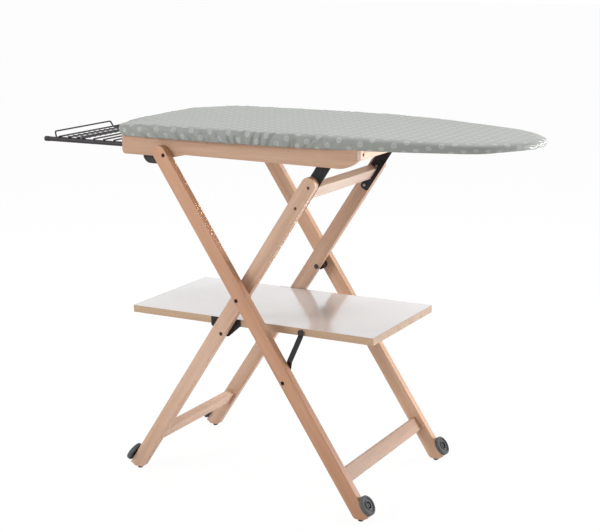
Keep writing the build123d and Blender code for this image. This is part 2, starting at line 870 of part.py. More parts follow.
for word, side in sides:
    save(stay(side), f"{word}_shelf_stay")
    outside = stay_top_y + stay_thickness / 2
    with BuildPart() as stay_screw:
        with BuildSketch(side_plane(side * outside)):
            with Locations(stay_shelf_pivot):
                Circle(7.6)
        extrude(amount=-side * 3)
        fillet(stay_screw.edges().filter_by(GeomType.CIRCLE), 1.2)
        with BuildSketch(side_plane(side * outside)):
            with Locations(stay_shelf_pivot):
                Circle(3)
        extrude(amount=side * (stay_thickness + 0.1))
    save(stay_screw.part, f"{word}_stay_screw")


# Iron rest: two tubes that slide along the rails, with wires across them
def rest_tube(side):
    across = Plane(origin=(tube_left, side * tube_y, tube_z), x_dir=(0, 1, 0), z_dir=(1, 0, 0))
    with BuildPart() as tube:
        with BuildSketch(across):
            Circle(tube_radius)
            Circle(tube_radius - 1.2, mode=Mode.SUBTRACT)
        extrude(amount=tube_right - tube_left)
    return tube.part


for word, side in sides:
    save(rest_tube(side), f"{word}_rest_tube")

wire_z = tube_z + tube_radius + wire_radius
with BuildPart() as rest_wires:
    with BuildSketch(side_plane(0)):
        for spot in wire_spots:
            with Locations((cross_x + spot, wire_z)):
                Circle(wire_radius)
        with Locations((cross_x + thick_wire_spot, wire_z + 1)):
            Circle(wire_radius + 1)
    extrude(amount=tube_y + 4, both=True)
save(rest_wires.part, "rest_cross_wires")

# The guard is one bent wire: its two long ends lie beside and between the tubes
link_z = wire_z - 2 * wire_radius
guard_near = tube_y - sqrt((tube_radius + wire_radius + 0.05) ** 2 - (link_z - tube_z) ** 2)
guard_far = guard_near - guard_width
guard_x = cross_x + guard_spot
guard_z = wire_z + guard_rise
with BuildPart() as rest_guard:
    with BuildLine() as path:
        FilletPolyline(
            (cross_x + thick_wire_spot, -guard_near, link_z),
            (guard_x, -guard_near, link_z),
            (guard_x - guard_lean, -guard_near + 4, guard_z),
            (guard_x - guard_lean, -guard_far - 4, guard_z),
            (guard_x, -guard_far, link_z),
            (cross_x + thick_wire_spot, -guard_far, link_z),
            radius=5,
        )
    with BuildSketch(Plane(path.line @ 0, z_dir=path.line % 0)):
        Circle(wire_radius)
    sweep()
save(rest_guard.part, "rest_guard_wire")

link_radius = 1.5
link_plane = Plane(
    origin=(cross_x + wire_spots[0], 0, wire_z - wire_radius - link_radius),
    x_dir=(0, 1, 0), z_dir=(1, 0, 0),
)
link_step = guard_width / (link_count + 1)
with BuildPart() as rest_links:
    with BuildSketch(link_plane):
        for step in range(1, link_count + 1):
            with Locations((-guard_near + step * link_step, 0)):
                Circle(link_radius)
    extrude(amount=thick_wire_spot - wire_spots[0])
save(rest_links.part, "rest_links")

cap_wall = 0.6
cap_length = 13.0
with BuildPart() as rest_caps:
    for word, side in sides:
        across = Plane(
            origin=(tube_left - 2, side * tube_y, tube_z), x_dir=(0, 1, 0), z_dir=(1, 0, 0)
        )
        with BuildSketch(across):
            Circle(tube_radius + cap_wall)
        extrude(amount=cap_length)
    tips = rest_caps.edges().filter_by(GeomType.CIRCLE).group_by(Axis.X)[0]
    fillet(tips, 1.6)
    for word, side in sides:
        across = Plane(
            origin=(tube_left - 0.1, side * tube_y, tube_z), x_dir=(0, 1, 0), z_dir=(1, 0, 0)
        )
        with BuildSketch(across):
            Circle(tube_radius + running_fit)
        extrude(amount=cap_length, mode=Mode.SUBTRACT)
save(rest_caps.part, "rest_end_caps")

with BuildPart() as rest_tie:
    with Locations((tube_right - 12, 0, tube_z + tube_radius + 1)):
        Box(16, 2 * (tube_y + tube_radius - 0.1), 2)
save(rest_tie.part, "rest_tie_bar")

guide_length = 16.0
guide_spots = (rail_left + 32, tube_right - 20.3 - guide_length / 2)
cradle = tube_radius + 1.2
with BuildPart() as rest_guides:
    for word, side in sides:
        for spot in guide_spots:
            middle = Plane(origin=(spot, 0, 0), x_dir=(0, 1, 0), z_dir=(1, 0, 0))
            with BuildSketch(middle):
                with BuildLine():
                    Polyline(
                        (side * (tube_y - cradle - 0.3), tube_z - cradle),
                        (side * (tube_y + cradle - 0.2), tube_z - cradle),
                        (side * (tube_y + cradle - 0.2), tube_z + 11.5),
                        (side * rail_inside, tube_z + 11.5),
                        (side * rail_inside, tube_z + 23),
                        (side * (tube_y + 5), tube_z + 23),
                        (side * (tube_y + 5), tube_z + 0.8),
                        (side * (tube_y - cradle - 0.3), tube_z + 0.8),
                        close=True,
                    )
                make_face()
                with Locations((side * tube_y, tube_z)):
                    Circle(tube_radius + 0.3, mode=Mode.SUBTRACT)
            extrude(amount=guide_length / 2, both=True)
save(rest_guides.part, "rest_guides")

# Latch bar that slides along the near rail, with the grip seen under it
latch_left = cross_x - 286.0
latch_right = cross_x + 250.0
latch_outside = rail_inside - 0.3
latch_mid = latch_outside - latch_thickness / 2
latch_top = tube_z + 9
latch_slot_z = tube_z + 2.5
latch_gap = 0.8
guide_screw_spots = (cross_x - 40.0, cross_x + 130.0)


def latch_low(x):
    return rod_line(x) + rod_radius + latch_gap


with BuildPart() as latch_bar:
    with BuildSketch(side_plane(-latch_mid)):
        with BuildLine():
            Polyline(
                (latch_left + 8, latch_top),
                (latch_right, latch_top),
                (latch_right, latch_low(latch_right)),
                (cross_x - 245, latch_low(cross_x - 245)),
                (cross_x - 245, block_bottom - 2),
                (latch_left + 8, block_bottom - 2),
                close=True,
            )
        make_face()
        for step in (0, 24, 48):
            with Locations((rod_x - step, latch_low(rod_x - step))):
                Circle(rod_radius + 0.5, mode=Mode.SUBTRACT)
        for spot in guide_screw_spots:
            with Locations((spot - latch_pull / 2 + latch_pull, latch_slot_z)):
                SlotCenterToCenter(latch_pull, 5.2, mode=Mode.SUBTRACT)
    extrude(amount=latch_thickness / 2, both=True)
save(latch_bar.part, "latch_bar")

grip_low = block_bottom - 22.4
grip_top = block_bottom + 10.1
grip_round = 22.0
grip_right = cross_x - 240
round_x = latch_left + grip_round
round_z = grip_low + grip_round
with BuildPart() as latch_grip:
    with BuildSketch(side_plane(-(rail_inside - 5))):
        with BuildLine():
            Polyline(
                (round_x, grip_low),
                (grip_right, grip_low),
                (grip_right, grip_top),
                (latch_left, grip_top),
                (latch_left, round_z),
            )
            ThreePointArc(
                (latch_left, round_z),
                (round_x - grip_round * cos(radians(45)), round_z - grip_round * sin(radians(45))),
                (round_x, grip_low),
            )
        make_face()
    extrude(amount=4.5, both=True)
    with BuildSketch(side_plane(-latch_mid)):
        with Locations((cross_x - 261.5, block_bottom + 6.6)):
            Rectangle(34, 20)
    extrude(amount=latch_thickness / 2 + 0.02, both=True, mode=Mode.SUBTRACT)
save(latch_grip.part, "latch_grip")

with BuildPart() as guide_screws:
    for spot in guide_screw_spots:
        with BuildSketch(side_plane(-rail_inside)):
            with Locations((spot, latch_slot_z)):
                Circle(2.5)
        extrude(amount=-4.2)
        with BuildSketch(side_plane(-(rail_inside - latch_thickness - 0.5))):
            with Locations((spot, latch_slot_z)):
                Circle(4.5)
        extrude(amount=-1)
save(guide_screws.part, "latch_guide_screws")
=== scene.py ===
# %% [markdown]
# Ironing board with a linen shelf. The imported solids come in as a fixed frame: legs, rails, shelf,
# iron rest and wheels keep their shapes and get their finishes here. The soft top is what a solid
# can't show, so the foam pad and its gathered cloth cover are made here as new pieces.

# %% Load the frame
import math
import random

import bpy
from mathutils import Matrix, Vector


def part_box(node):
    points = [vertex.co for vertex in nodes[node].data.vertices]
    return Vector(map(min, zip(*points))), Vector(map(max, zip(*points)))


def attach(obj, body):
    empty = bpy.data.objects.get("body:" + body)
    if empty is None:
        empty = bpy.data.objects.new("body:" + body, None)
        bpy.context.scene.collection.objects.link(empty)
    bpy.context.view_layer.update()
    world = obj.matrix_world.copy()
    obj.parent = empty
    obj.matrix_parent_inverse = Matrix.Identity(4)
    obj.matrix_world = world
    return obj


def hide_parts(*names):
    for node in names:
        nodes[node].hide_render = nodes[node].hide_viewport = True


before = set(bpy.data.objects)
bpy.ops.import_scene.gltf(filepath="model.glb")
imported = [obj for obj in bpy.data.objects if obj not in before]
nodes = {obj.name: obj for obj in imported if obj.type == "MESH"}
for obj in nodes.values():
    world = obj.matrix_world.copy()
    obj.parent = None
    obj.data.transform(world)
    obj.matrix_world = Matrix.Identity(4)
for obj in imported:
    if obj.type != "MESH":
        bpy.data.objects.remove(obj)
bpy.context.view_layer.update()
scene = bpy.context.scene

# %% [markdown]
# The camera is the photographer's: a short telephoto from the nose side, a little above the board.
# Its place and turn were worked out from the straight edges of the legs and the shelf. A camera could
# be turned by three angles, but it can also be set by its three axes as the columns of a matrix, and
# then each axis can be checked by itself.

# %% Camera
lens_mm, sensor_mm = 81.23, 36
camera_at = Vector((1.6239, -2.9226, 1.3239))
yaw, pitch, roll = math.radians(28.95), math.radians(13.1), math.radians(-0.51)

look = Vector((-math.sin(yaw) * math.cos(pitch), math.cos(yaw) * math.cos(pitch), -math.sin(pitch)))
level_right = Vector((math.cos(yaw), math.sin(yaw), 0))
level_up = level_right.cross(look)
right = math.cos(roll) * level_right + math.sin(roll) * level_up
up = right.cross(look)

bpy.ops.object.select_all(action="DESELECT")
bpy.ops.object.camera_add()
camera = bpy.context.object
camera.name = "photo_camera"
camera.data.lens = lens_mm
camera.data.sensor_width = sensor_mm
turn = Matrix((right, up, -look)).transposed().to_4x4()
camera.matrix_world = Matrix.Translation(camera_at) @ turn
scene.camera = camera
print("camera at", [round(c, 3) for c in camera_at])

# %% [markdown]
# Soft studio light. The brightest faces in the photograph look towards the nose end: leg edges, the
# lower side of the head stretcher and the tip of the cloth. They shine a little, so the key is a lamp
# behind that end, where those faces mirror it to the camera, and low, so that the flat top doesn't
# glare. A softer lamp over the camera's left fills the near faces, one above lights the cloth, and one
# with a narrow beam, as through a honeycomb grid, picks out the tip of the nose.

# %% Lamps
scene.view_settings.view_transform = "Standard"


def area_lamp(name, place, target, size, power):
    """A round lamp turned towards its target."""
    bpy.ops.object.light_add(type="AREA", location=place)
    lamp = bpy.context.object
    lamp.name = name
    lamp.data.shape = "DISK"
    lamp.data.size = size
    lamp.data.energy = power
    lamp.rotation_mode = "QUATERNION"
    lamp.rotation_quaternion = (Vector(target) - Vector(place)).to_track_quat("-Z", "Y")
    return lamp


area_lamp("key_lamp", place=(2.5, 2.1, 0.47), target=(0, 0, 0.55), size=0.9, power=64)
area_lamp("fill_lamp", place=(-1.9, -2.8, 1.8), target=(0, 0, 0.5), size=1.5, power=50)
area_lamp("top_lamp", place=(0.3, 0.6, 3.2), target=(0, 0, 0.8), size=2.2, power=44)
nose_lamp = area_lamp("nose_lamp", place=(2.2, 0.9, 0.94), target=(0.64, 0.03, 0.91), size=0.3, power=0.4)
nose_lamp.data.spread = math.radians(16)
print("four lamps")

# %% [markdown]
# The world and every finish below are small node trees. These helpers add a node with its values, join
# two sockets, turn a colour code into linear light and keep the trees short to read.

# %% Node helpers
plain_white = (1, 1, 1, 1)


def new_finish(name, roughness, metallic=0.0):
    """A new material and its Principled shader."""
    finish = bpy.data.materials.new(name)
    finish.use_nodes = True
    shader = finish.node_tree.nodes["Principled BSDF"]
    shader.inputs["Roughness"].default_value = roughness
    shader.inputs["Metallic"].default_value = metallic
    return finish, shader


def add(finish, kind, **values):
    """A new node. A value sets the node's own option of that name, or else its socket."""
    node = finish.node_tree.nodes.new("ShaderNode" + kind)
    for name, value in values.items():
        if hasattr(node, name):
            setattr(node, name, value)
        else:
            node.inputs[name.replace("_", " ")].default_value = value
    return node


def join(finish, source, target):
    finish.node_tree.links.new(source, target)


def ramp(finish, stops):
    """A colour ramp with a stop at each place."""
    node = add(finish, "ValToRGB")
    while len(node.color_ramp.elements) < len(stops):
        node.color_ramp.elements.new(0.5)
    for element, (place, colour) in zip(node.color_ramp.elements, stops):
        element.position = place
        element.color = colour
    return node


def srgb(code):
    """A colour code as linear red, green, blue and alpha."""
    parts = [int(code[i:i + 2], 16) / 255 for i in (1, 3, 5)]
    linear = [c / 12.92 if c <= 0.04045 else ((c + 0.055) / 1.055) ** 2.4 for c in parts]
    return (*linear, 1.0)


def bump(finish, shader, height, strength, distance):
    node = add(finish, "Bump", Strength=strength, Distance=distance)
    join(finish, height, node.inputs["Height"])
    join(finish, node.outputs["Normal"], shader.inputs["Normal"])


def multiplied(finish, first, second, factor):
    """One colour darkened by another."""
    node = add(finish, "Mix", data_type="RGBA", blend_type="MULTIPLY")
    node.inputs["Factor"].default_value = factor
    join(finish, first, node.inputs["A"])
    join(finish, second, node.inputs["B"])
    return node.outputs["Result"]


def dress(finish, *names):
    """Give pieces of the frame a finish."""
    for name in names:
        piece = nodes[name]
        piece.data.materials.clear()
        piece.data.materials.append(finish)


# %% [markdown]
# The photograph is cut out on pure white. To the camera and in reflections the world is white too, and
# dimmer for all other light, so that the lamps still shape the object. The floor glows nearly white to
# the camera and takes only a faint shadow. A plain white plane would turn grey wherever less light
# falls on it.

# %% World and floor
world_light, shadow_share, floor_glow = 0.58, 0.9, 1.03
floor_width, floor_drop = 60, 0.0005

world = bpy.data.worlds.new("studio")
scene.world = world
world.use_nodes = True
sky = world.node_tree.nodes["Background"]
sky.inputs["Color"].default_value = plain_white
ray = add(world, "LightPath")
seen = add(world, "Math", operation="MAXIMUM")
join(world, ray.outputs["Is Camera Ray"], seen.inputs[0])
join(world, ray.outputs["Is Glossy Ray"], seen.inputs[1])
level = add(world, "MapRange", To_Min=world_light, To_Max=1.0)
join(world, seen.outputs[0], level.inputs["Value"])
join(world, level.outputs[0], sky.inputs["Strength"])

bpy.ops.mesh.primitive_plane_add(size=floor_width, location=(0, 0, -floor_drop))
floor = bpy.context.object
floor.name = "studio_floor"
floor_finish, shader = new_finish("studio_floor", 0.9)
shader.inputs["Base Color"].default_value = (0.9, 0.9, 0.9, 1)
shader.inputs["Specular IOR Level"].default_value = 0.0
ray = add(floor_finish, "LightPath")
glow = add(floor_finish, "Emission", Strength=floor_glow)
shadow_only = add(floor_finish, "MixShader")
shadow_only.inputs[0].default_value = shadow_share
join(floor_finish, shader.outputs[0], shadow_only.inputs[1])
join(floor_finish, glow.outputs[0], shadow_only.inputs[2])
by_ray = add(floor_finish, "MixShader")
join(floor_finish, ray.outputs["Is Camera Ray"], by_ray.inputs[0])
join(floor_finish, shader.outputs[0], by_ray.inputs[1])
join(floor_finish, shadow_only.outputs[0], by_ray.inputs[2])
join(floor_finish, by_ray.outputs[0], floor_finish.node_tree.nodes["Material Output"].inputs["Surface"])
floor.data.materials.append(floor_finish)
print("world and floor ready")

# %% [markdown]
# Beech is pale pinkish brown with slow bands along the grain and many short darker flecks. A picture of
# wood would repeat, so the grain is made from noise. Wood is cut along its grain and each stick has its
# own direction: a Mapping node turns the object's coordinates until its X axis runs along the stick,
# and noise stretched along X gives bands, fibres and flecks. Cut ends are darker end grain, made darker
# still as painted shade.

# %% Beech
beech_tones = ("#B68F74", "#C69F83", "#D0AD93")
band_spots = (0.30, 0.5, 0.72)
# The last of these darkens cut ends: end grain, made darker still as painted shade.
fibre_dark, fleck_dark, end_grain_and_painted_shade = (0.86, 0.84, 0.82, 1), (0.80, 0.72, 0.66, 1), (0.38, 0.28, 0.22, 1)
fibre_share, fleck_share, brightest = 0.75, 0.7, 0.95


def toned(code, painted_light):
    """A colour code made lighter or darker by a factor for each channel: painted light and shade."""
    return (*(min(c * t, brightest) for c, t in zip(srgb(code), painted_light)), 1.0)


def beech(name, grain_angle, grain_plane="XZ", offset=(0, 0, 0), painted_light=(1, 1, 1), tones=beech_tones,
          end_at=None):
    """Wood with its grain at an angle in a plane, made lighter or darker as painted light and shade, and
    darker end grain, with painted shade, beyond a place along X.
    """
    finish, shader = new_finish(name, 0.46)
    place = add(finish, "TexCoord")
    turned = add(finish, "Mapping", vector_type="POINT", Location=offset)
    if grain_plane == "XZ":
        turned.inputs["Rotation"].default_value = (0, grain_angle, 0)
    else:
        turned.inputs["Rotation"].default_value = (0, 0, grain_angle)
    join(finish, place.outputs["Object"], turned.inputs["Vector"])

    def stretched(along, across, depth, detail):
        size = add(finish, "Mapping", Scale=(along, across, across))
        join(finish, turned.outputs[0], size.inputs["Vector"])
        noise = add(finish, "TexNoise", Scale=1.0, Detail=detail, Roughness=depth)
        join(finish, size.outputs[0], noise.inputs["Vector"])
        return noise.outputs["Fac"]

    bands = ramp(finish, [(spot, toned(code, painted_light)) for spot, code in zip(band_spots, tones)])
    join(finish, stretched(along=2.2, across=34, depth=0.55, detail=3), bands.inputs[0])
    fibres = ramp(finish, [(0.35, fibre_dark), (0.65, plain_white)])
    join(finish, stretched(along=14, across=620, depth=0.6, detail=2), fibres.inputs[0])
    flecks = ramp(finish, [(0.62, plain_white), (0.74, fleck_dark)])
    join(finish, stretched(along=190, across=1500, depth=0.5, detail=1), flecks.inputs[0])
    colour = multiplied(finish, bands.outputs[0], fibres.outputs[0], fibre_share)
    colour = multiplied(finish, colour, flecks.outputs[0], fleck_share)
    if end_at:
        split = add(finish, "SeparateXYZ")
        join(finish, place.outputs["Object"], split.inputs[0])
        at_end = add(finish, "Math", operation="GREATER_THAN")
        at_end.inputs[1].default_value = end_at
        join(finish, split.outputs["X"], at_end.inputs[0])
        end_grain_and_shade_mix = add(finish, "Mix", data_type="RGBA", blend_type="MULTIPLY")
        end_grain_and_shade_mix.inputs["B"].default_value = end_grain_and_painted_shade
        join(finish, at_end.outputs[0], end_grain_and_shade_mix.inputs["Factor"])
        join(finish, colour, end_grain_and_shade_mix.inputs["A"])
        colour = end_grain_and_shade_mix.outputs["Result"]
    join(finish, colour, shader.inputs["Base Color"])
    gloss = add(finish, "MapRange", To_Min=0.40, To_Max=0.54)
    join(finish, stretched(along=8, across=60, depth=0.5, detail=2), gloss.inputs["Value"])
    join(finish, gloss.outputs[0], shader.inputs["Roughness"])
    bump(finish, shader, fibres.outputs[0], strength=0.12, distance=0.0006)
    shader.inputs["Coat Weight"].default_value = 0.12
    shader.inputs["Coat Roughness"].default_value = 0.35
    return finish


# %% [markdown]
# No two sticks come from the same place in the tree. Each gets its own finish, with its own offset into
# the grain and its own factor per channel: painted light and shade, darker for sticks in shade and
# paler for brightly lit ones. Legs have their grain along their lean, rails along the board and
# stretchers across it.

# %% Sticks of beech
outer_lean, inner_lean, across = math.radians(56.84), math.radians(56.44), math.radians(90)
# The last column is each stick's painted light or shade.
sticks = (
    ("near_outer_leg", "beech_outer_near", -outer_lean, "XZ", (0.3, 0.1, 0), (0.88, 0.745, 0.655)),
    ("far_outer_leg", "beech_outer_far", -outer_lean, "XZ", (1.7, 0.4, 0.2), (1.09, 1.09, 1.09)),
    ("near_inner_leg", "beech_inner_near", inner_lean, "XZ", (0.9, 0.7, 0.5), (1.05, 1.11, 1.19)),
    ("far_inner_leg", "beech_inner_far", inner_lean, "XZ", (2.3, 0.2, 0.8), (1.0, 1.05, 1.12)),
    ("outer_stretcher", "beech_outer_stretcher", across, "XY", (0.6, 0.3, 0.2), (0.78, 0.77, 0.78)),
    ("inner_foot_stretcher", "beech_foot_stretcher", across, "XY", (1.2, 0.8, 0.6), (1.14, 1.24, 1.36)),
    ("inner_head_stretcher", "beech_head_stretcher", across, "XY", (1.9, 0.5, 0.1), (1.06, 1.30, 1.62)),
)
for stick, name, angle, plane, offset, painted_light in sticks:
    dress(beech(name, angle, plane, offset, painted_light), stick)

# The rails are made a little darker: painted shade.
rail_painted_shade, end_skin = (0.86, 0.84, 0.82), 0.0006
rail_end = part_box("near_rail")[1].x - end_skin
rails = (("near_rail", "beech_rail_near", (0.5, 0.6, 0.1)), ("far_rail", "beech_rail_far", (3.1, 0.9, 0.4)))
for rail, name, offset in rails:
    dress(beech(name, 0, offset=offset, painted_light=rail_painted_shade, end_at=rail_end), rail)
cross_bars = ("nose_cross_bar", "heel_cross_bar")
dress(beech("beech_cross", across, "XY", offset=(0.2, 0.3, 0.6)), *cross_bars)
print("beech on", len(sticks) + len(rails) + len(cross_bars), "sticks")

# %% [markdown]
# The shelf is a white laminated board with a thin wood-coloured edge band. Melamine has a faint pebbled
# skin that only shows in its reflections, so it is all in the bump. Seen at a low angle the sheet
# mirrors the legs behind it. A clear coat gives that without making the board grey from above.

# %% Shelf laminate and edge band
laminate, shader = new_finish("white_laminate", 0.16)
place = add(laminate, "TexCoord")
pebble = add(laminate, "TexNoise", Scale=900.0, Detail=2.0)
cloud = add(laminate, "TexNoise", Scale=6.0, Detail=3.0)
for noise in (pebble, cloud):
    join(laminate, place.outputs["Object"], noise.inputs["Vector"])
tint = ramp(laminate, [(0.3, srgb("#E6E6E9")), (0.7, srgb("#EEEDF0"))])
join(laminate, cloud.outputs["Fac"], tint.inputs[0])
join(laminate, tint.outputs[0], shader.inputs["Base Color"])
bump(laminate, shader, pebble.outputs["Fac"], strength=0.05, distance=0.0003)
shader.inputs["Coat Weight"].default_value = 1.0
shader.inputs["Coat Roughness"].default_value = 0.14
shader.inputs["Coat IOR"].default_value = 1.6
dress(laminate, "shelf_board")

band_tones = ("#A88A6F", "#B49679", "#BFA286")
dress(beech("shelf_edge_band", 0, offset=(0.4, 0.1, 0.9), tones=band_tones), "shelf_edging")
print("shelf done")

# %% [markdown]
# The brackets, stays and iron rest are steel with a black powder coat. Powder melts into a skin of
# tiny soft bumps, like orange peel, with a low broad gloss. The worn spots are a little paler. The
# brackets, stays, cross rod, latch bar, screws and axles get a darker copy of the coat: painted shade.
# Moulded plastic and blackened bolts look much the same with other colours, grain and gloss, so one
# function makes them all.

# %% Powder coat and moulded plastic
smoother, rougher = 0.06, 0.08


def dark_coat(name, low, high, roughness, grain, height):
    """A dark skin of fine bumps, between two colours."""
    finish, shader = new_finish(name, roughness)
    place = add(finish, "TexCoord")
    peel = add(finish, "TexNoise", Scale=grain, Detail=2.0)
    cloud = add(finish, "TexNoise", Scale=24.0, Detail=4.0)
    for noise in (peel, cloud):
        join(finish, place.outputs["Object"], noise.inputs["Vector"])
    tint = ramp(finish, [(0.35, srgb(low)), (0.7, srgb(high))])
    join(finish, cloud.outputs["Fac"], tint.inputs[0])
    join(finish, tint.outputs[0], shader.inputs["Base Color"])
    gloss = add(finish, "MapRange", To_Min=roughness - smoother, To_Max=roughness + rougher)
    join(finish, cloud.outputs["Fac"], gloss.inputs["Value"])
    join(finish, gloss.outputs[0], shader.inputs["Roughness"])
    bump(finish, shader, peel.outputs["Fac"], strength=0.25, distance=height)
    shader.inputs["Specular IOR Level"].default_value = 0.32
    return finish


# A darker copy of the powder coat: painted shade.
painted_shade_coat = dark_coat("black_coat_painted_shade", "#151112", "#1E181A", 0.42, 1400.0, 0.0004)
powder_coat = dark_coat("black_powder_coat", "#231D21", "#2E282D", 0.42, 1400.0, 0.0004)
moulded_black = dark_coat("black_moulding", "#2A2326", "#352D30", 0.55, 2200.0, 0.0003)
blackened = dark_coat("blackened_bolt", "#30272A", "#3E3433", 0.40, 1800.0, 0.0002)
dress(painted_shade_coat, "near_top_bracket", "far_top_bracket", "cross_rod", "near_shelf_bracket",
      "far_shelf_bracket", "near_shelf_stay", "far_shelf_stay", "latch_bar",
      "shelf_bracket_screws", "outer_wheel_axles", "inner_wheel_axles")
dress(powder_coat, "near_rest_tube", "far_rest_tube", "rest_cross_wires", "rest_links",
      "rest_guard_wire", "rest_tie_bar")
dress(moulded_black, "latch_grip", "rest_guides", "rest_end_caps", "crossing_spacers",
      "outer_foot_glides", "inner_foot_glides")
dress(blackened, "top_pivot_bolts", "crossing_bolts", "stay_pivot_bolts", "cross_bar_nuts",
      "near_stay_screw", "far_stay_screw", "shelf_pivot_pins")
print("black coats done")

# %% [markdown]
# The screws of the top brackets and the latch guide are zinc plated: bright and a little cloudy. The
# wheels have a grey soft tyre on a darker hub. Both are moulded, so they reuse the dark coat, and the
# tyre scatters light with hardly any gloss.

# %% Zinc, tyre and hub
zinc, shader = new_finish("zinc_plate", 0.32, metallic=1.0)
place = add(zinc, "TexCoord")
cloud = add(zinc, "TexNoise", Scale=260.0, Detail=4.0)
join(zinc, place.outputs["Object"], cloud.inputs["Vector"])
tint = ramp(zinc, [(0.3, srgb("#8F8D8B")), (0.7, srgb("#AFAEAE"))])
join(zinc, cloud.outputs["Fac"], tint.inputs[0])
join(zinc, tint.outputs[0], shader.inputs["Base Color"])
bump(zinc, shader, cloud.outputs["Fac"], strength=0.15, distance=0.0002)
dress(zinc, "top_bracket_screws", "latch_guide_screws")

tyre = dark_coat("grey_tyre", "#4F5254", "#5B5E60", 0.68, 1600.0, 0.0005)
hub = dark_coat("grey_hub", "#2A282C", "#37353A", 0.50, 1900.0, 0.0003)
for end in ("outer", "inner"):
    for side in ("near", "far"):
        dress(tyre, f"{side}_{end}_wheel_tyre")
        dress(hub, f"{side}_{end}_wheel_hub")
print("zinc and wheels done")

# %% [markdown]
# Thin rods tie the last wires of the iron rest into a lattice. They are wire of about half the others'
# thickness, spot-welded under them, and are modelled again here at that size. One rod is a cylinder
# laid along the board, and insetting its two end faces outwards gives them a chamfer.

# %% One lattice rod
links_low, links_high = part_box("rest_links")
rod_radius, rod_chamfer, rod_sides, packed_radius = 0.0008, 0.0003, 16, 0.0015
rod_length = links_high.x - links_low.x - 2 * rod_chamfer
first_y, last_y = links_low.y + packed_radius, links_high.y - packed_radius
end_facing = 0.9


def work_on(piece):
    """Make a piece the only one selected, and the active one."""
    bpy.ops.object.select_all(action="DESELECT")
    piece.select_set(True)
    bpy.context.view_layer.objects.active = piece


bpy.ops.object.select_all(action="DESELECT")
bpy.ops.mesh.primitive_cylinder_add(
    vertices=rod_sides, radius=rod_radius, depth=rod_length, rotation=(0, math.pi / 2, 0),
    location=((links_low.x + links_high.x) / 2, first_y, links_high.z - rod_radius))
rods = bpy.context.object
rods.name = "lattice_rods"
bpy.ops.object.transform_apply(location=True, rotation=True, scale=True)
bpy.ops.object.mode_set(mode="EDIT")
bpy.ops.mesh.select_mode(type="FACE")
bpy.ops.mesh.select_all(action="DESELECT")
bpy.ops.object.mode_set(mode="OBJECT")
for face in rods.data.polygons:
    face.select = abs(face.normal.x) > end_facing
bpy.ops.object.mode_set(mode="EDIT")
bpy.ops.mesh.inset(thickness=rod_chamfer, depth=rod_chamfer, use_individual=True)
bpy.ops.object.mode_set(mode="OBJECT")
print("one rod of", round(rod_length * 1000, 1), "mm")

# %% [markdown]
# The other rods are copies of the first, spaced evenly across the wires. An Array modifier could space
# them too, but copies that are joined give one plain mesh that rides with the iron rest.

# %% Row of lattice rods
rod_count, crease_angle = 10, math.radians(35)
copies = [rods]
for step in range(1, rod_count):
    work_on(rods)
    bpy.ops.object.duplicate()
    bpy.context.object.location.y = step * (last_y - first_y) / (rod_count - 1)
    bpy.ops.object.transform_apply(location=True, rotation=False, scale=False)
    copies.append(bpy.context.object)
for rod in copies:
    rod.select_set(True)
bpy.context.view_layer.objects.active = rods
bpy.ops.object.join()
bpy.ops.object.shade_smooth_by_angle(angle=crease_angle)
rods.data.materials.clear()
rods.data.materials.append(powder_coat)
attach(rods, "iron_rest")
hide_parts("rest_links")
print("lattice rods", rod_count, "faces", len(rods.data.polygons))

# %% [markdown]
# Under the pad lies a plain board. Its edge and underside show when the ironing board is folded, so
# it gets the look of raw poplar ply: pale, with long soft grain. That is the beech finish again with
# other colours.

# %% Board panel
ply_tones = ("#BFA684", "#CFB795", "#DAC5A6")
dress(beech("raw_ply", 0, offset=(1.1, 0.2, 0.3), tones=ply_tones), "board_panel")
panel_low, panel_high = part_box("board_panel")
print("panel", [round(v, 3) for v in panel_high - panel_low])

# %% [markdown]
# The padded top. Its outline comes from the board panel, so that it always fits: the points of the
# panel's lower face, ordered round a place in the middle, spaced out evenly and smoothed. From this one
# outline grow the foam pad and the cloth cover, ring by ring.

# %% Outline of the board
around, smooth_passes, face_depth, same_digits = 1440, 10, 1e-5, 5
middle = Vector((0.12, 0, 0))


def even_loop(points, count):
    """Evenly spaced points along a closed line, and the line's length."""
    closed = points + [points[0]]
    lengths = [0.0]
    for a, b in zip(closed, closed[1:]):
        lengths.append(lengths[-1] + (b - a).length)
    loop, k = [], 0
    for i in range(count):
        goal = lengths[-1] * i / count
        while lengths[k + 1] < goal:
            k += 1
        share = (goal - lengths[k]) / (lengths[k + 1] - lengths[k])
        loop.append(closed[k].lerp(closed[k + 1], share))
    return loop, lengths[-1]


rim = {}
for vertex in nodes["board_panel"].data.vertices:
    x, y, z = vertex.co
    if z < panel_low.z + face_depth:
        rim[(round(x, same_digits), round(y, same_digits))] = Vector((x, y, 0))
ordered = sorted(rim.values(), key=lambda p: math.atan2(p.y - middle.y, p.x - middle.x))
outline, girth = even_loop(ordered, around)
for _ in range(smooth_passes):
    outline = [(outline[i - 1] + outline[i] * 2 + outline[(i + 1) % around]) / 4 for i in range(around)]
outward = []
for i in range(around):
    along = outline[(i + 1) % around] - outline[i - 1]
    outward.append(Vector((along.y, -along.x, 0)).normalized())
print("outline", len(ordered), "corners, girth", round(girth, 3))

# %% [markdown]
# Both soft pieces are skins through rings of points, as a tailor would lay out bands of cloth. On the
# flat top the rings shrink towards a line along the middle, the spine, and the last ring is closed by
# a ladder of quads across it. One big face would do on a flat top, but this top dips at the nose.

# %% Skins of rings
heel_to_spine, spine_to_tip = 0.19, 0.10
spine_left, spine_right = panel_low.x + heel_to_spine, panel_high.x - spine_to_tip


def toward_spine(point, keep):
    """A point moved towards the spine, with a share of its distance kept."""
    spot = Vector((min(max(point.x, spine_left), spine_right), 0, 0))
    return spot + (point - spot) * keep


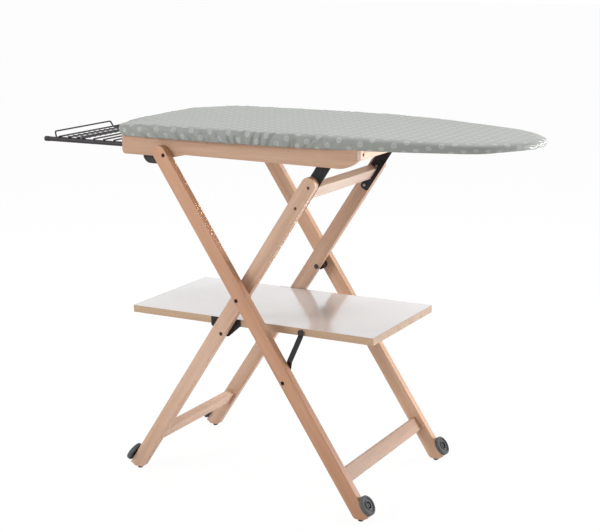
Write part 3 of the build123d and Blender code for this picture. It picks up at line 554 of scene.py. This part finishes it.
def ring_piece(name, rings, closed_start=False):
    """A skin of quads through rings of points. A ladder closes the last ring, and the first if asked."""
    mesh = bpy.data.meshes.new(name)
    points = [p for ring in rings for p in ring]
    count = len(rings[0])
    quads = []
    for r in range(len(rings) - 1):
        for i in range(count):
            j = (i + 1) % count
            quads.append((r * count + i, r * count + j, (r + 1) * count + j, (r + 1) * count + i))
    ends = [0, len(rings) - 1] if closed_start else [len(rings) - 1]
    for r in ends:
        for i in range(count // 2):
            rung = (i, i + 1, (count - i - 1) % count, (count - i) % count)
            quads.append(tuple(dict.fromkeys(r * count + k for k in rung)))
    mesh.from_pydata(points, [], quads)
    piece = bpy.data.objects.new(name, mesh)
    scene.collection.objects.link(piece)
    work_on(piece)
    bpy.ops.object.mode_set(mode="EDIT")
    bpy.ops.mesh.select_all(action="SELECT")
    bpy.ops.mesh.normals_make_consistent(inside=False)
    bpy.ops.object.mode_set(mode="OBJECT")
    return piece


print("spine from", round(spine_left, 3), "to", round(spine_right, 3))

# %% [markdown]
# The cover's side goes down past the foam and in under the board's rim. It has a crisp shoulder on the
# heel half, and is thinner and rounder towards the nose. Each profile is a list of distances out from
# the outline and heights over the board's underside, from the hem up, and the side is blended from
# the two.

# %% Cover profiles
heel_side = (
    (0.0034, -0.0050), (0.0050, -0.0045), (0.0060, -0.0030), (0.0067, -0.0004), (0.0072, 0.0034),
    (0.0075, 0.0075), (0.0076, 0.0116), (0.0075, 0.0155), (0.0072, 0.0188), (0.0065, 0.0216),
    (0.0053, 0.0238), (0.0035, 0.0254), (0.0009, 0.0264), (-0.0035, 0.0270), (-0.0100, 0.0273),
    (-0.0180, 0.0275),
)
nose_side = (
    (0.0006, -0.0048), (0.0030, -0.0045), (0.0048, -0.0033), (0.0061, -0.0010), (0.0069, 0.0018),
    (0.0074, 0.0047), (0.0076, 0.0080), (0.0073, 0.0136), (0.0062, 0.0176), (0.0043, 0.0210),
    (0.0017, 0.0237), (-0.0010, 0.0254), (-0.0036, 0.0264), (-0.0060, 0.0269), (-0.0122, 0.0272),
    (-0.0186, 0.0273),
)
top_height, tip_height, tip_pull, tip_lift = 0.0272, 0.0170, 0.0034, 0.6
heel_until, heel_blend = 0.28, 0.20
thin_from, thin_length = 0.14, 0.46
tip_length, tip_blend = 0.10, 0.09
droop_depth, droop_radius = 0.0045, 0.05
heel_corner = Vector((panel_low.x + 0.02, panel_high.y - 0.03, 0))


def smooth(share):
    share = min(max(share, 0), 1)
    return share * share * (3 - 2 * share)


def heel_share(spot):
    """1 on the heel half of the board, 0 towards the nose, with a soft change between."""
    return smooth((heel_until - spot.x) / heel_blend)


def nose_share(spot):
    """0 up to the middle of the board, 1 at the nose, where the padding thins out."""
    return smooth((spot.x - thin_from) / thin_length)


def tip_share(spot):
    """1 only at the tip, where the hem pulls the cloth close to the board."""
    return smooth((spot.x - panel_high.x + tip_length) / tip_blend)


def corner_droop(spot):
    """The padding gives way at the two heel corners."""
    away = (Vector((spot.x, abs(spot.y), 0)) - heel_corner).length
    return droop_depth * math.exp(-(away / droop_radius) ** 2)


def top_rise(spot):
    """Height of the cover's top over the board's underside."""
    return top_height + (tip_height - top_height) * nose_share(spot) - corner_droop(spot)


def side_at(spot, ring):
    """Distance out and height of one ring of the side, blended from the two profiles."""
    share = heel_share(spot)
    out, rise = (n + (h - n) * share for n, h in zip(nose_side[ring], heel_side[ring]))
    rise *= top_rise(spot) / top_height if rise > 0 else 1 - tip_lift * tip_share(spot)
    return out - tip_pull * tip_share(spot), rise


print("side of", len(heel_side), "rings")

# %% [markdown]
# The hem is drawn tight under the board, so the cloth gathers on the heel half. Each gather is a narrow
# valley, steep on one side, that starts at the hem and fades upwards. The pull is towards the middle of
# the hem, so the valleys lean that way, more the further out they are. Even folds look like a machine's
# work, so places, depths and widths are drawn at random, from a fixed seed.

# %% Gathers
hem_middle, lean_rate, most_lean, lean_spread = -0.03, 5.4, 1.3, 0.25
least_strength, plain_step = 0.02, 0.05
fold_reach, fade_power, deepest = 0.026, 0.6, 1.1
random.seed(7)
gathers = []
place_along = 0.0
while place_along < girth:
    spot = outline[int(place_along / girth * around) % around]
    strength = heel_share(spot)
    lean = min(max(lean_rate * (hem_middle - spot.x), -most_lean), most_lean)
    lean += random.uniform(-lean_spread, lean_spread)
    gathers.append({
        "at": place_along, "lean": lean if spot.y < 0 else -lean,
        "deep": random.uniform(0.6, 1.0) * strength, "wide": random.uniform(0.0065, 0.0120),
        "steep": random.uniform(0.0022, 0.0032), "tall": random.uniform(0.016, 0.032),
        "side": random.choice((-1, 1)),
    })
    place_along += random.uniform(0.012, 0.034) if strength > least_strength else plain_step


def pressed(along, height):
    """Depth of the gathers at a place along the outline and a height over the hem, as a share."""
    total = 0.0
    for fold in gathers:
        fade = 1 - height / fold["tall"]
        away = (along - fold["at"] + fold["lean"] * height + girth / 2) % girth - girth / 2
        if fade <= 0 or abs(away) > fold_reach:
            continue
        width = fold["steep"] if away * fold["side"] > 0 else fold["wide"]
        total += fold["deep"] * fade ** fade_power * math.exp(-(away / width) ** 2)
    return min(total, deepest)


print("gathers", len(gathers))

# %% [markdown]
# Now the skin of the cover: the rings of the side with the valleys pressed in, and then the rings of
# the top. The side swells a little between hem and shoulder, because the foam pushes from inside.

# %% Cover skin
dent_depth, swell_depth, swell_span = 0.0066, 0.0012, 0.026
top_keep = (0.76, 0.64, 0.5, 0.36, 0.22, 0.08)
rings = []
dents = []
floor_z = panel_low.z
for r in range(len(heel_side)):
    height = heel_side[r][1] - heel_side[0][1]
    ring = []
    for i in range(around):
        spot = outline[i]
        out, rise = side_at(spot, r)
        dents.append(pressed(i / around * girth, height))
        swell = swell_depth * heel_share(spot) * math.sin(min(height / swell_span, 1) * math.pi)
        out += swell - dent_depth * dents[-1]
        ring.append(spot + outward[i] * out + Vector((0, 0, floor_z + rise)))
    rings.append(ring)
for keep in top_keep:
    flat_ring = [toward_spine(p, keep) for p in outline]
    rings.append([p + Vector((0, 0, floor_z + top_rise(p))) for p in flat_ring])
cover = ring_piece("gathered_cover", rings)
print("cover", len(cover.data.polygons), "faces")

# %% [markdown]
# The cloth pattern was printed on flat fabric, so the dots have to follow the cloth over the edge
# and down the side. A UV map in metres does that: on the top it is the plan itself, and on the side
# the distance down the skin is added outwards from the outline.

# %% Flat pattern as a UV map
pattern = cover.data.uv_layers.new(name="pattern")
run = [0.0]
for (out_a, rise_a), (out_b, rise_b) in zip(heel_side[::-1], heel_side[-2::-1]):
    run.append(run[-1] + math.hypot(out_b - out_a, rise_b - rise_a))
run = run[::-1]
flat_spot = []
for r in range(len(rings)):
    for i in range(around):
        if r < len(heel_side):
            spread = heel_side[-1][0] + run[r]
            flat_spot.append(outline[i] + outward[i] * spread)
        else:
            flat_spot.append(rings[r][i])
for loop in cover.data.loops:
    spot = flat_spot[loop.vertex_index]
    pattern.data[loop.index].uv = (spot.x, spot.y)
print("side of", round(run[0] * 1000, 1), "mm laid flat")

# %% [markdown]
# Pressed-in valleys look cut with a tool. A short cloth simulation with a little pressure behind the
# skin lets the free rings of the side pull and bulge as fabric does, while the hem, the top and the
# bottoms of the valleys are held. How far a point may move is capped, less on the smooth nose half, so
# that the cover keeps its size.

# %% Settle the cloth
held_rings, held_dent, last_frame = 2, 0.45, 9
nose_move, heel_move = 0.0003, 0.0027
held = cover.vertex_groups.new(name="held")
free_rings = range(held_rings, len(heel_side) - held_rings)
for r in range(len(rings)):
    if r not in free_rings:
        held.add(list(range(r * around, (r + 1) * around)), 1.0, "REPLACE")
for index, dent in enumerate(dents):
    if dent > held_dent:
        held.add([index], 1.0, "REPLACE")
pressed_shape = [vertex.co.copy() for vertex in cover.data.vertices]
cloth = cover.modifiers.new("settle", "CLOTH")
settings = cloth.settings
settings.quality = 4
settings.mass = 0.15
settings.tension_stiffness = 12
settings.compression_stiffness = 12
settings.bending_stiffness = 0.08
settings.shrink_min = -0.035
settings.vertex_group_mass = "held"
settings.use_pressure = True
settings.uniform_pressure_force = 3.0
settings.effector_weights.gravity = 0
cloth.collision_settings.use_collision = False
cloth.point_cache.frame_start = 1
cloth.point_cache.frame_end = last_frame
for step in range(1, last_frame + 1):
    scene.frame_set(step)
settled = cover.evaluated_get(bpy.context.evaluated_depsgraph_get())
settled_shape = [vertex.co.copy() for vertex in settled.data.vertices]
cover.modifiers.remove(cloth)
scene.frame_set(1)
for vertex, start, end in zip(cover.data.vertices, pressed_shape, settled_shape):
    move = end - start
    move_cap = nose_move + heel_move * heel_share(start)
    if move.length > move_cap:
        move *= move_cap / move.length
    vertex.co = start + move
print("cloth settled")

# %% [markdown]
# The cloth itself is a fine cotton weave in grey green, printed with small pale dots in offset rows, a
# common pattern. Each set of rows repeats a cell of the UV map, and the distance to the cell's middle
# makes the dot. A ramp is a table of 256 steps, so the distance is scaled to fill it, or the rim of the
# dot would be ragged.

# %% Printed dots
cloth_finish, shader = new_finish("dotted_cotton", 0.52)
flat = add(cloth_finish, "UVMap", uv_map="pattern")
column, row, dot_size, ramp_reach, cells_away = 0.0258, 0.0298, 0.0066, 1.25, 100


def dot_rows(shift):
    """Distance to the nearest dot centre in one set of rows."""
    moved = add(cloth_finish, "VectorMath", operation="ADD")
    moved.inputs[1].default_value = (shift[0], shift[1], 0)
    join(cloth_finish, flat.outputs[0], moved.inputs[0])
    above_zero = add(cloth_finish, "VectorMath", operation="ADD")
    above_zero.inputs[1].default_value = (cells_away * column, cells_away * row, 0)
    join(cloth_finish, moved.outputs[0], above_zero.inputs[0])
    cell = add(cloth_finish, "VectorMath", operation="MODULO")
    cell.inputs[1].default_value = (2 * column, row, 1)
    join(cloth_finish, above_zero.outputs[0], cell.inputs[0])
    reach = add(cloth_finish, "VectorMath", operation="DISTANCE")
    reach.inputs[1].default_value = (column, row / 2, 0)
    join(cloth_finish, cell.outputs[0], reach.inputs[0])
    return reach.outputs["Value"]


nearest = add(cloth_finish, "Math", operation="MINIMUM")
join(cloth_finish, dot_rows((0, 0)), nearest.inputs[0])
join(cloth_finish, dot_rows((column, row / 2)), nearest.inputs[1])
in_dots = add(cloth_finish, "Math", operation="DIVIDE")
in_dots.inputs[1].default_value = dot_size * ramp_reach
join(cloth_finish, nearest.outputs[0], in_dots.inputs[0])
dots = ramp(cloth_finish, [(0.30, (0.6, 0.6, 0.6, 1)), (0.55, plain_white), (0.70, plain_white),
                           (0.86, (0, 0, 0, 1))])
join(cloth_finish, in_dots.outputs[0], dots.inputs[0])
print("dots every", column, "by", row, "m")

# %% [markdown]
# Under the print lies the weave: two crossed waves for the threads' bumps and a fine noise for their
# uneven colour. The back of such covers is coated to throw heat back, and that gives the cloth a faint
# silky sheen on round edges.

# %% Weave and colours
weave = add(cloth_finish, "TexNoise", Scale=700.0, Detail=3.0)
warp = add(cloth_finish, "TexWave", bands_direction="X", Scale=420.0, Distortion=1.5, Detail=1.0)
weft = add(cloth_finish, "TexWave", bands_direction="Y", Scale=420.0, Distortion=1.5, Detail=1.0)
for texture in (weave, warp, weft):
    join(cloth_finish, flat.outputs[0], texture.inputs["Vector"])
ground = ramp(cloth_finish, [(0.35, srgb("#868984")), (0.65, srgb("#929590"))])
join(cloth_finish, weave.outputs["Fac"], ground.inputs[0])
printed = add(cloth_finish, "Mix", data_type="RGBA")
printed.inputs["B"].default_value = srgb("#A4A7A3")
join(cloth_finish, dots.outputs[0], printed.inputs["Factor"])
join(cloth_finish, ground.outputs[0], printed.inputs["A"])
join(cloth_finish, printed.outputs["Result"], shader.inputs["Base Color"])
threads = add(cloth_finish, "Math", operation="ADD")
join(cloth_finish, warp.outputs["Fac"], threads.inputs[0])
join(cloth_finish, weft.outputs["Fac"], threads.inputs[1])
bump(cloth_finish, shader, threads.outputs[0], strength=0.10, distance=0.0003)
shader.inputs["Specular IOR Level"].default_value = 0.4
shader.inputs["Sheen Weight"].default_value = 0.12
shader.inputs["Sheen Roughness"].default_value = 0.4
cover.data.materials.append(cloth_finish)
print("cotton printed")

# %% [markdown]
# So far the cover has no thickness. A Solidify modifier gives it that of a lined cotton, inwards, so
# that the outside stays where it was settled.

# %% Cloth thickness
cloth_thickness = 0.0009
work_on(cover)
bpy.ops.object.shade_smooth()
thick = cover.modifiers.new("thickness", "SOLIDIFY")
thick.thickness = cloth_thickness
thick.offset = -1
bpy.ops.object.modifier_apply(modifier="thickness")
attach(cover, "board_top")
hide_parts("board_cover")
print("cover with thickness", len(cover.data.polygons), "faces")

# %% [markdown]
# Inside the cover lies the foam. It is a padded block with a crowned top and soft edges, a little
# smaller than the cover all round, flat only where it rests on the board panel. It takes the cover's
# own top, less a gap, so the two can't cross, and only every third point of the outline.

# %% Foam pad
foam_side = ((-0.0012, 0.0122), (0.0036, 0.0128), (0.0046, 0.0150), (0.0040, 0.0178),
             (0.0020, 0.0204), (-0.0030, 0.0226), (-0.0110, 0.0236))
foam_low, foam_high = foam_side[0][1], foam_side[-1][1]
foam_gap, nose_inset, outline_step = 0.0030, 0.0062, 3
under_keep, crown_keep = (0.08, 0.4, 0.7), (0.8, 0.5, 0.2)
rings = [[toward_spine(p, keep) + Vector((0, 0, floor_z + foam_low)) for p in outline]
         for keep in under_keep]
for out, rise in foam_side:
    ring = []
    for p, n in zip(outline, outward):
        stretch = (top_rise(p) - foam_gap - foam_low) / (foam_high - foam_low)
        lift = floor_z + foam_low + (rise - foam_low) * stretch
        ring.append(p + n * (out - nose_inset * nose_share(p)) + Vector((0, 0, lift)))
    rings.append(ring)
for keep in crown_keep:
    flat_ring = [toward_spine(p, keep) for p in outline]
    rings.append([p + Vector((0, 0, floor_z + top_rise(p) - foam_gap)) for p in flat_ring])
foam = ring_piece("foam_layer", [ring[::outline_step] for ring in rings], closed_start=True)
bpy.ops.object.shade_smooth()

foam_finish, shader = new_finish("white_foam", 0.9)
place = add(foam_finish, "TexCoord")
cells = add(foam_finish, "TexVoronoi", Scale=700.0)
join(foam_finish, place.outputs["Object"], cells.inputs["Vector"])
tint = ramp(foam_finish, [(0.1, srgb("#E6E0D2")), (0.8, srgb("#F0ECE2"))])
join(foam_finish, cells.outputs["Distance"], tint.inputs[0])
join(foam_finish, tint.outputs[0], shader.inputs["Base Color"])
bump(foam_finish, shader, cells.outputs["Distance"], strength=0.4, distance=0.0006)
foam.data.materials.append(foam_finish)
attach(foam, "board_top")
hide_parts("foam_pad")
print("foam", len(foam.data.polygons), "faces")

# %% [markdown]
# The cover is a sheet: cut as one piece of cotton to the board's outline plus the side and hem. Its flat
# outline is that outline, moved out by the length of the side.

# %% Flat outline of the cover
flat_ring = [outline[i] + outward[i] * (heel_side[-1][0] + run[0]) for i in range(around)]
